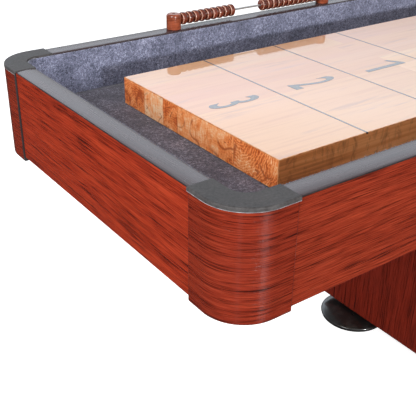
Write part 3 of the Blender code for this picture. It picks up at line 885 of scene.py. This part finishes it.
def make_board():
    """One closed body whose faces know their stave, with the glue lines on its ends."""
    plan = stave_plan(random.Random(5))
    edges = strip_lines()
    rows = [(edges[0], 0)]  # each row of vertices, and the strip in front of it
    for i, y in enumerate(edges[1:-1]):
        rows += [(y + GLUE_LINE / 2, None), (y - GLUE_LINE / 2, i + 1)]
    rows.append((edges[-1], None))
    columns = sorted({x for joints, _ in plan for x in joints})
    bm = bmesh.new()
    stave, heart_y, heart_z, curl, tone = (
        bm.faces.layers.float.new(name) for name in ("stave", "heart_y", "heart_z", "curl", "tone")
    )
    hearts = strip_hearts(edges, random.Random(8))

    def stave_at(strip, x):
        joints, values = plan[strip]
        return next(v for a, b, v in zip(joints, joints[1:], values) if a <= x < b)

    levels = (BOARD_HIGH.z, BOARD_LOW.z)
    grid = {
        (i, j, k): bm.verts.new((x, y, z))
        for i, x in enumerate(columns)
        for j, (y, _) in enumerate(rows)
        for k, z in enumerate(levels)
    }

    def add(corners, strip, x, index):
        face = bm.faces.new([grid[c] for c in corners])
        face[stave] = stave_at(strip, x)
        face[heart_y], face[heart_z] = hearts[strip]
        face[curl], face[tone] = STRIP_CURLS[strip], STRIP_TONES[strip]
        face.material_index = index

    for j, (_, strip) in enumerate(rows[:-1]):
        glue = strip is None
        strip = rows[j - 1][1] if glue else strip
        for i in range(len(columns) - 1):
            x = (columns[i] + columns[i + 1]) / 2
            add([(i, j, 0), (i + 1, j, 0), (i + 1, j + 1, 0), (i, j + 1, 0)], strip, x, 0)
            add([(i, j, 1), (i + 1, j, 1), (i + 1, j + 1, 1), (i, j + 1, 1)], strip, x, 1)
        for i, x in ((0, columns[0]), (len(columns) - 1, columns[-1] - 0.01)):
            corners = [(i, j, 0), (i, j + 1, 0), (i, j + 1, 1), (i, j, 1)]
            add(corners, strip, x, 3 if glue else 2)
    for i in range(len(columns) - 1):
        x = (columns[i] + columns[i + 1]) / 2
        for j, strip in ((0, 0), (len(rows) - 1, len(plan) - 1)):
            add([(i, j, 0), (i + 1, j, 0), (i + 1, j, 1), (i, j, 1)], strip, x, 1)
    bmesh.ops.recalc_face_normals(bm, faces=bm.faces)
    sharp = [e for e in bm.edges if e.calc_face_angle(0) > 1]
    bmesh.ops.bevel(bm, geom=sharp, offset=0.0012, segments=2, profile=0.5, affect="EDGES")
    for face in bm.faces:
        if max(abs(part) for part in face.normal) < 0.99:
            face.material_index = 4
    level_shading(finish_piece("playing_board", bm, ("top", "side", "end", "glue", "arris"),
                               60))


def place_numeral(bm, center, sign, across):
    """Lays a numeral on the board, stretched to its length along the table."""
    xs = [vert.co.x for vert in bm.verts]
    ys = [vert.co.y for vert in bm.verts]
    middle_x, middle_y = (min(xs) + max(xs)) / 2, (min(ys) + max(ys)) / 2
    along = NUMERAL_LENGTH / (max(ys) - min(ys))
    for vert in bm.verts:
        x = center - sign * along * (vert.co.y - middle_y)
        y = sign * across * (vert.co.x - middle_x)
        vert.co = (x, y, PAINT_FLOOR + (PAINT if vert.co.z > 0 else 0))
    return bm


def numeral_one(center, sign):
    """A plain one: a stem with a sloping flag."""
    outline = ((1, 0), (1, 1), (0.77, 1), (0, 0.83), (0, 0.74), (0.68, 0.87), (0.68, 0))
    bm = bmesh.new()
    floor = bm.faces.new([bm.verts.new((x, y, 0)) for x, y in outline])
    top = bmesh.ops.extrude_face_region(bm, geom=[floor])["geom"]
    for vert in top:
        if isinstance(vert, bmesh.types.BMVert):
            vert.co.z = 1
    return place_numeral(bm, center, sign, NUMERAL_WIDTH)


def numeral_mesh(digit, center, sign):
    """A plain sans numeral as a thin body on the board."""
    text = bpy.data.curves.new("numeral", "FONT")
    text.body = str(digit)
    text.offset = NUMERAL_WEIGHT
    text.extrude = 0.5
    text.resolution_u = 8
    holder = add_object("numeral", text)
    bpy.context.view_layer.update()
    graph = bpy.context.evaluated_depsgraph_get()
    mesh = bpy.data.meshes.new_from_object(holder.evaluated_get(graph))
    bm = bmesh.new()
    bm.from_mesh(mesh)
    bpy.data.objects.remove(holder)
    bpy.data.curves.remove(text)
    bpy.data.meshes.remove(mesh)
    bmesh.ops.remove_doubles(bm, verts=bm.verts, dist=1e-5)
    return place_numeral(bm, center, sign, NUMERAL_WIDTH / NUMERAL_TEXT_WIDTH)


def make_marks():
    """Score lines and numerals at both ends, each end's read by the player who stands there."""
    top = PAINT_FLOOR + PAINT
    for end, sign in ENDS.items():
        edge = BOARD_LOW.x if sign < 0 else BOARD_HIGH.x
        for zone in range(1, ZONES + 1):
            x = edge - sign * ZONE * zone
            low, high = x - LINE_WIDTH / 2, x + LINE_WIDTH / 2
            bm = bmesh.new()
            add_slab(bm, (low, BOARD_LOW.y + 0.0006, PAINT_FLOOR),
                     (high, BOARD_HIGH.y - 0.0006, top))
            for y, out in ((BOARD_LOW.y, -1), (BOARD_HIGH.y, 1)):
                ends = sorted((y + out * 0.00012, y - out * 0.0011))
                add_slab(bm, (low, ends[0], BOARD_HIGH.z - NOTCH),
                         (high, ends[1], top + 0.00003), 1)
            finish_mesh(f"score_line_{end}_{zone}", bm, ("mark", "dark"))
            middle = edge - sign * ZONE * (zone - 0.5)
            digit = ZONES + 1 - zone
            bm = numeral_one(middle, sign) if digit == 1 else numeral_mesh(digit, middle, sign)
            finish_mesh(f"numeral_{end}_{zone}", bm, ("mark",))


# ---------------------------------------------------------------- carpets


def ring_stations(step):
    """Stations round the whole of the cradle's outline."""
    half_x, half_y = HALF_LENGTH - CORNER_RADIUS, HALF_WIDTH - CORNER_RADIUS
    stations = []
    turns = ((1, 1, 0), (-1, 1, 90), (-1, -1, 180), (1, -1, 270))
    for index, (side_x, side_y, angle) in enumerate(turns):
        center = Vector((side_x * half_x, side_y * half_y))
        for k in range(CORNER_STEPS + 1):
            t = math.radians(angle + 90 * k / CORNER_STEPS)
            out = Vector((math.cos(t), math.sin(t)))
            stations.append((center + CORNER_RADIUS * out, out))
        next_x, next_y, _ = turns[(index + 1) % 4]
        goal = Vector((next_x * half_x, next_y * half_y)) + CORNER_RADIUS * out
        here = stations[-1][0]
        count = max(1, round((goal - here).length / step))
        stations += [(here.lerp(goal, k / count), out) for k in range(1, count)]
    return stations


def make_carpets():
    """The felt on the gutter floor, and the felt strip glued round the walls."""
    low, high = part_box("floor_carpet")
    inset = HALF_WIDTH - high.y
    half_x, half_y = HALF_LENGTH - inset, HALF_WIDTH - inset
    radius = CORNER_RADIUS - inset
    bm = bmesh.new()
    count_x, count_y = round(2 * half_x / FELT_STEP), round(2 * half_y / FELT_STEP)
    top = high.z - FELT_WAVE
    grid = []
    for i in range(count_x + 1):
        column = []
        for j in range(count_y + 1):
            x = -half_x + 2 * half_x * i / count_x
            y = -half_y + 2 * half_y * j / count_y
            past = Vector((max(0, abs(x) - half_x + radius), max(0, abs(y) - half_y + radius)))
            if past.length > radius:
                pull = past * (1 - radius / past.length)
                x -= math.copysign(pull.x, x)
                y -= math.copysign(pull.y, y)
            lift = FELT_WAVE * noise.noise(Vector((x * 26, y * 26, 0)))
            column.append(bm.verts.new((x, y, top + lift)))
        grid.append(column)
    for i in range(count_x):
        for j in range(count_y):
            bm.faces.new((grid[i][j], grid[i + 1][j], grid[i + 1][j + 1], grid[i][j + 1]))
    # The floor felt's darker, warmer tone is painted shade and painted bounce light.
    floor = finish_mesh("floor_felt", bm, ("floor_felt",), 80, ["floor_carpet"])
    thicken(floor, high.z - low.z - 2 * FELT_WAVE, floor.data.vertices[0].normal.z)
    make_wall_felt(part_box("wall_carpet")[0].z)


def make_wall_felt(bottom):
    """The strip round the walls, whose top laps over the rail's inner face."""
    face = -RAIL_WIDTH
    wall = -0.0319  # just inside the aprons
    lap = RAIL_UNDER - 0.0005
    back = [(wall, bottom), (wall, lap), (face - 0.0002, lap), (face - 0.0002, FELT_TOP - 0.0004)]
    front = [(face - 0.0006, FELT_TOP), (face - 0.0012, FELT_TOP - 0.0002),
             (face - 0.0016, FELT_TOP - 0.0012), (face - 0.0016, lap + 0.001),
             (face - 0.0008, lap - 0.006)]
    levels = 6
    for k in range(1, levels + 1):
        front.append((face, lap - 0.010 + (bottom - lap + 0.010) * k / levels))
    stations = ring_stations(FELT_STEP)
    bm = swept(back + front, stations, closed=True)
    count = len(back) + len(front)
    bm.verts.ensure_lookup_table()
    for index, vert in enumerate(bm.verts):
        if index % count >= len(back):
            out = stations[index // count][1]
            wave = FELT_WAVE * (0.5 + 0.5 * noise.noise(vert.co * 31)) - 0.0002
            vert.co.x -= out[0] * wave
            vert.co.y -= out[1] * wave
    felt_strip = finish_mesh("wall_felt", bm, ("felt",), 80, ["wall_carpet"])
    rim = [(Vector(point) + face * Vector(out), Vector(out)) for point, out in stations]
    fuzz = make_fibres(rim)


def thicken(obj, thickness, shown):
    """Gives a sheet its thickness behind the face that shows."""
    solid = obj.modifiers.new("Thickness", "SOLIDIFY")
    solid.thickness = thickness
    solid.offset = -1.0 if shown > 0 else 1.0
    solid.use_even_offset = True


def make_fibres(stations):
    """Loose fibres that stand out of the cut edge of the wall felt, over the rail."""
    chance = random.Random(11)
    bm = bmesh.new()
    for _ in range(FIBRES):
        index = chance.randrange(len(stations))
        (one, out), (two, _) = stations[index], stations[(index + 1) % len(stations)]
        place = one.lerp(two, chance.random())
        root = Vector((place.x, place.y, FELT_TOP - abs(chance.gauss(0, 0.0022))))
        root -= chance.uniform(0.0002, 0.0014) * Vector((out.x, out.y, 0))
        inward = Vector((-out.x, -out.y, 0))
        along = Vector((-out.y, out.x, 0))
        aim = inward * chance.uniform(-0.2, 0.7) + along * chance.gauss(0, 0.6)
        aim += Vector((0, 0, chance.uniform(0.3, 1.2)))
        tip = root + aim.normalized() * chance.uniform(0.0012, 0.0042)
        side = aim.cross(Vector((0, 0, 1))).normalized()
        up = side.cross(aim).normalized()
        thick = chance.uniform(0.00012, 0.00024)
        base = [
            bm.verts.new(root + thick * (math.cos(a) * side + math.sin(a) * up))
            for a in THIRDS
        ]
        end = bm.verts.new(tip)
        bm.faces.new(base)
        for k in range(3):
            bm.faces.new((base[k], end, base[(k + 1) % 3]))
    return finish_mesh("wall_felt_fibres", bm, ("fibre",), 180)


# ---------------------------------------------------------------- scorers


def bead_profile():
    """A rounded disc on a slimmer hub that keeps it apart from its neighbours."""
    half = BEAD_WIDTH / 2
    mouth = (BEAD_BORE, half - 0.0010)
    points = [mouth, (BEAD_BORE + 0.0010, half), (0.0052, half),
              (0.0060, half - 0.0006), (0.0064, DISC_HALF + 0.0004), (0.0070, DISC_HALF)]
    for step in range(9):
        angle = math.radians(90 - 90 * step / 8)
        points.append((
            DISC_SHOULDER + (BEAD_RADIUS - DISC_SHOULDER) * math.cos(angle),
            DISC_CREST + (DISC_HALF - DISC_CREST) * math.sin(angle),
        ))
    mirrored = [(radius, -height) for radius, height in reversed(points)]
    return [*points, *mirrored, mouth]


def post_profile(height, radius):
    """Straight post with a rounded shoulder, a flat top and a screw hole in it."""
    shoulder = [(0.0098, 0.0), (0.0114, 0.0004), (0.0126, 0.0012), (0.0134, 0.0024),
                (0.0139, 0.0040), (radius, 0.0060)]
    return [
        (0, height - 0.0040), (HOLE_RADIUS, height - 0.0038), (HOLE_RADIUS, height - 0.0006),
        (HOLE_RADIUS + 0.0006, height), *((r, height - drop) for r, drop in shoulder),
        (radius, 0.0012), (radius - 0.0006, 0), (0, 0),
    ]


def paint_ring(bm, center):
    """Gives a bead's faces between two distances from the rod the pale ring of painted highlight."""
    for face in bm.faces:
        away = face.calc_center_median() - center
        if RING_INSIDE < math.hypot(away.y, away.z) < RING_OUTSIDE:
            face.material_index = 1


def make_scorers():
    """Two posts and a rod on each side rail, with two stacks of beads."""
    for side in SIDES:
        for which in ("first", "last"):
            node = f"scorer_{side}_post_{which}"
            low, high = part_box(node)
            center = (low + high) / 2
            profile = post_profile(high.z - low.z, (high.x - low.x) / 2)
            bm = turned(profile, (center.x, center.y, low.z), steps=72)
            for face in bm.faces:
                # The faces down the screw hole are near black: painted shade in the recess.
                away = face.calc_center_median() - center
                if away.z > low.z + 0.01 - center.z:
                    face.material_index = int(math.hypot(away.x, away.y) < 1.01 * HOLE_RADIUS)
            finish_piece(node, bm, ("post", "dark"), 32)
        node = f"scorer_{side}_rod"
        low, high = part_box(node)
        half = (high.x - low.x) / 2
        bm = turned([(0, half), (ROD_RADIUS, half), (ROD_RADIUS, -half), (0, -half)],
                    (low + high) / 2, "X", 24)
        finish_piece(node, bm, ("steel",), 40)
        for stack, (count, pitch) in STACKS.items():
            node = f"beads_{side}_{stack}"
            low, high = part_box(node)
            for index in range(count):
                place = (low + high) / 2
                place.x += (index - (count - 1) / 2) * pitch
                bm = turned(bead_profile(), place, "X", 40)
                bmesh.ops.remove_doubles(bm, verts=bm.verts, dist=1e-6)
                paint_ring(bm, place)
                finish_mesh(f"bead_{side}_{stack}_{index + 1}", bm, ("bead", "bead_painted_highlight"),
                            60, [node], node)


# -------------------------------------------------------------- pedestals


def foot_profile(top, radius):
    """Pad with a bevelled rim, a domed cover, a lock nut's collar and the threaded stud."""
    thread = []
    height, pitch, outer = top - 0.001, 0.0015, 0.006
    while height - pitch > 0.0305:
        thread += [(outer, height), (outer - 0.0007, height - pitch / 2)]
        height -= pitch
    collar = 0.016
    span = radius - 0.0045 - collar
    steps = [step / 12 for step in range(13)]
    dome = [(collar + span * t, 0.0225 - 0.0112 * t**1.7) for t in steps]
    rim = [
        (radius - 0.0016, 0.0098), (radius - 0.0004, 0.0082), (radius, 0.0068),
        (radius - 0.0002, 0.0052), (radius - 0.0012, 0.0024), (radius - 0.0022, 0.0),
    ]
    return [
        (0, top), (outer - 0.001, top), *thread, (outer, 0.0297), (0.0145, 0.0297),
        (collar, 0.0290), (collar, 0.0228), *dome, *rim, (0, 0.0),
    ]


def make_levelers():
    for end in ENDS:
        for row in ("outer", "inner"):
            for side in SIDES:
                node = f"leveler_{end}_{row}_{side}"
                low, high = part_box(node)
                center = (low + high) / 2
                profile = foot_profile(high.z, (high.x - low.x) / 2)
                bm = turned(profile, (center.x, center.y, 0), steps=96)
                finish_piece(node, bm, ("black",), 35)


def knob_profile(length):
    """Turned knob: a domed head, a slim neck and a base flange."""
    points = [(0, length)]
    for step in range(1, 13):
        if step < 8:
            radius = 0.0035 + 0.0105 * math.sin(math.radians(7.5 * step)) ** 0.8
        else:
            radius = 0.0060 + 0.0080 * (1 - (step - 7) / 5) ** 0.7
        points.append((radius, length - 0.0160 * (step / 12) ** 1.3))
    return [*points, (0.0058, 0.0040), (0.0065, 0.0026), (0.0088, 0.0018), (0.0092, 0.0008),
            (0.0090, 0.0), (0, 0)]


def add_screw_head(bm, center):
    """A screw head that faces the front, with a round recess."""
    profile = [(0, -0.0002), (0.0007, -0.0002), (0.0011, 0.0003), (0.0022, 0.0005),
               (0.0028, 0.0), (0.0028, -0.0004), (0, -0.0004)]
    turned(profile, center, "-Y", 20, bm)


def make_doors():
    """The doors' knobs, hinges and strike plates."""
    for end, sign in ENDS.items():
        node = f"door_knob_{end}"
        low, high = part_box(node)
        place = ((low.x + high.x) / 2, high.y, (low.z + high.z) / 2)
        bm = turned(knob_profile(high.y - low.y), place, "-Y", 48)
        finish_piece(node, bm, ("nickel",), 35)
        for height in ("lower", "upper"):
            make_hinge(end, sign, height)
        make_strike(end)


def make_hinge(end, sign, height):
    """Five knuckles on one pin, with a screwed leaf on the panel and one on the door."""
    node = f"hinge_{end}_{height}"
    low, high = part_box(node)
    tall = high.z - low.z
    radius, leaf, ease = 0.0035, 0.0015, 0.0004
    axis_x = low.x + radius if sign > 0 else high.x - radius
    axis_y = low.y + radius
    back = axis_y + radius
    wide = (high.x - low.x) - 2 * radius

    def add_plate(bm, near, far, bottom, top):
        """A plate that reaches outward from the pin, and the X of its middle."""
        start, stop = axis_x + outward * near, axis_x + outward * far
        add_slab(bm, (min(start, stop), back - leaf, bottom), (max(start, stop), back, top))
        return (start + stop) / 2

    for owner, body, outward, knuckles in (
        ("panel", "table", sign, (0, 2, 4)),
        ("door", f"door_{end}", -sign, (1, 3)),
    ):
        bm = bmesh.new()
        for index in knuckles:
            bottom = low.z + tall / 5 * index + 0.0002
            top = low.z + tall / 5 * (index + 1) - 0.0002
            profile = [(0, top), (radius - ease, top), (radius, top - ease),
                       (radius, bottom + ease), (radius - ease, bottom), (0, bottom)]
            turned(profile, (axis_x, axis_y, 0), "Z", 28, bm)
            add_plate(bm, 0.0012, radius + 0.0010, bottom, top)
        middle = add_plate(bm, radius + 0.0008, radius + wide - 0.0003,
                           low.z + 0.0003, high.z - 0.0003)
        for level in (0.22, 0.5, 0.78):
            add_screw_head(bm, (middle, back - leaf - 0.0001, low.z + tall * level))
        finish_mesh(f"{node}_{owner}_leaf", bm, ("nickel",), 35,
                    [node] if owner == "panel" else [], body)


def make_strike(end):
    """The steel plate on the door's inner face that the magnetic catch holds."""
    low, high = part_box(f"door_catch_{end}")
    door_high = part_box(f"door_{end}")[1]
    middle = (low.x + high.x) / 2
    top = door_high.z - 0.003
    half, tall, clear, thick = 0.016, 0.008, 0.00002, 0.0002
    back = door_high.y + clear
    bm = bmesh.new()
    add_slab(bm, (middle - half, back, top - tall), (middle + half, back + thick, top))
    finish_mesh(f"door_strike_{end}", bm, ("steel",), body=f"door_{end}")


def skin_frame_nodes():
    """Better materials for the frame's own panels, whose shapes stay."""
    for name, obj in frame["nodes"].items():
        if obj.hide_render:
            continue
        if "catch" in name:
            skin, slot = "catch", "catch_plastic"
        elif name.startswith(("pedestal", "door")):
            # The pedestals and doors take the darker laminate, which is painted shade.
            skin, slot = "pedestal", "pedestal_laminate"
        elif name.startswith("bearer"):
            skin, slot = "bearer", "panel_board"
        else:
            skin, slot = "panel", "panel_board"
        obj.data.materials.clear()
        obj.data.materials.append(SKINS[skin])


# ------------------------------------------------------------------ stage


def make_floor():
    """A wide pale floor, lifted towards white where the camera looks at it."""
    bm = bmesh.new()
    bmesh.ops.create_circle(bm, cap_ends=True, segments=96, radius=60.0)
    mesh = bpy.data.meshes.new("studio_floor")
    bm.to_mesh(mesh)
    bm.free()
    n = Skin("studio_floor")
    speck = n.cloud(3.0, 3.0, 0.5)
    mesh.materials.append(n.finish(n.mix(speck, (0.86, 0.86, 0.86), (0.88, 0.88, 0.88)), 0.9))
    n.shader.inputs["Emission Color"].default_value = (1, 1, 1, 1)
    seen = n.add("LightPath").outputs["Is Camera Ray"]
    n.feed(n.shader.inputs["Emission Strength"], n.times(seen, 0.80))
    floor = add_object("studio_floor", mesh)
    floor.visible_glossy = False


def make_world():
    """A white studio, with a bright backdrop behind the table's far right."""
    world = bpy.data.worlds.new("studio")
    bpy.context.scene.world = world
    world.use_nodes = True
    n = Nodes(world.node_tree)
    x, y, z = n.coordinate("Generated")
    heading = math.radians(62.0)  # of the backdrop's middle, from +X
    flat = n.add("VectorMath", {0: n.join(x, y)}, operation="NORMALIZE").outputs[0]
    toward = {0: flat, 1: (math.cos(heading), math.sin(heading), 0)}
    facing = n.add("VectorMath", toward, operation="DOT_PRODUCT").outputs["Value"]
    mask = n.spread(facing, 0.45, 0.90, interpolation_type="SMOOTHSTEP")

    def profile(tint, *stops):
        """Light by the height of its direction."""
        return n.ramp(z, *((at, tuple(level * part for part in tint)) for at, level in stops))

    room = profile((1, 1, 1), (0.0, 0.42), (0.45, 0.45), (0.70, 0.26), (1.0, 0.24))
    backdrop = profile((0.79, 0.885, 1.0), (0.0, 0.28), (0.22, 0.36), (0.36, 1.95), (0.50, 1.8),
                       (0.66, 0.0))
    total = n.mix(1.0, room, n.mix(mask, (0.0, 0.0, 0.0), backdrop), "ADD")
    total = n.mix(n.math("GREATER_THAN", z), (0.05, 0.05, 0.05), total)
    seen = n.add("LightPath").outputs["Is Camera Ray"]
    shown = n.mix(seen, total, (1.0, 1.0, 1.0))
    n.feed(n.tree.nodes["Background"].inputs[0], shown)


def add_light(name, kind, energy, place, target, **settings):
    """A light the camera doesn't see, aimed at a target."""
    light = bpy.data.lights.new(name, kind)
    light.energy = energy
    for key, value in settings.items():
        setattr(light, key, value)
    obj = add_object(name, light)
    obj.location = place
    obj.rotation_mode = "QUATERNION"
    obj.rotation_quaternion = (Vector(target) - obj.location).to_track_quat("-Z", "Y")
    obj.visible_camera = False


def make_lights():
    """A low key from the front, a tall soft light on the left, and two strips by the corner."""
    add_light("key", "SUN", 2.1, (-2.0, -3.0, 1.10), (-1.79, 0.0, 0.76), angle=math.radians(6))
    add_light("left_soft_light", "AREA", 86, (-4.0, -0.9, 2.3), (-1.7, -0.1, 0.75),
              shape="RECTANGLE", size=1.2, size_y=2.4)
    near_corner = (-1.77, -0.27, 0.25)
    for name, energy, place in (("near_strip", 0.75, (-1.653, -1.119, 0.25)),
                                ("left_strip", 0.14, (-2.43, -0.88, 0.25))):
        add_light(name, "AREA", energy, place, near_corner,
                  shape="RECTANGLE", size=0.13, size_y=0.5)


def make_camera():
    """The photograph's view of the left end."""
    camera = bpy.data.cameras.new("camera")
    camera.lens = 64.19
    camera.sensor_width = 36.0
    camera.clip_end = 200.0
    obj = add_object("camera", camera)
    obj.location = (-2.25327, -0.86658, 1.17298)
    obj.rotation_euler = [math.radians(a) for a in (61.1967, -0.6214, -35.7449)]
    bpy.context.scene.camera = obj


def main():
    bpy.context.scene.view_settings.view_transform = "Standard"
    SKINS.update(make_materials())
    for make in (make_aprons, make_rails, make_corners, make_board, make_marks, make_carpets,
                 make_scorers, make_levelers, make_doors, skin_frame_nodes, make_floor,
                 make_world, make_lights, make_camera):
        make()


main()
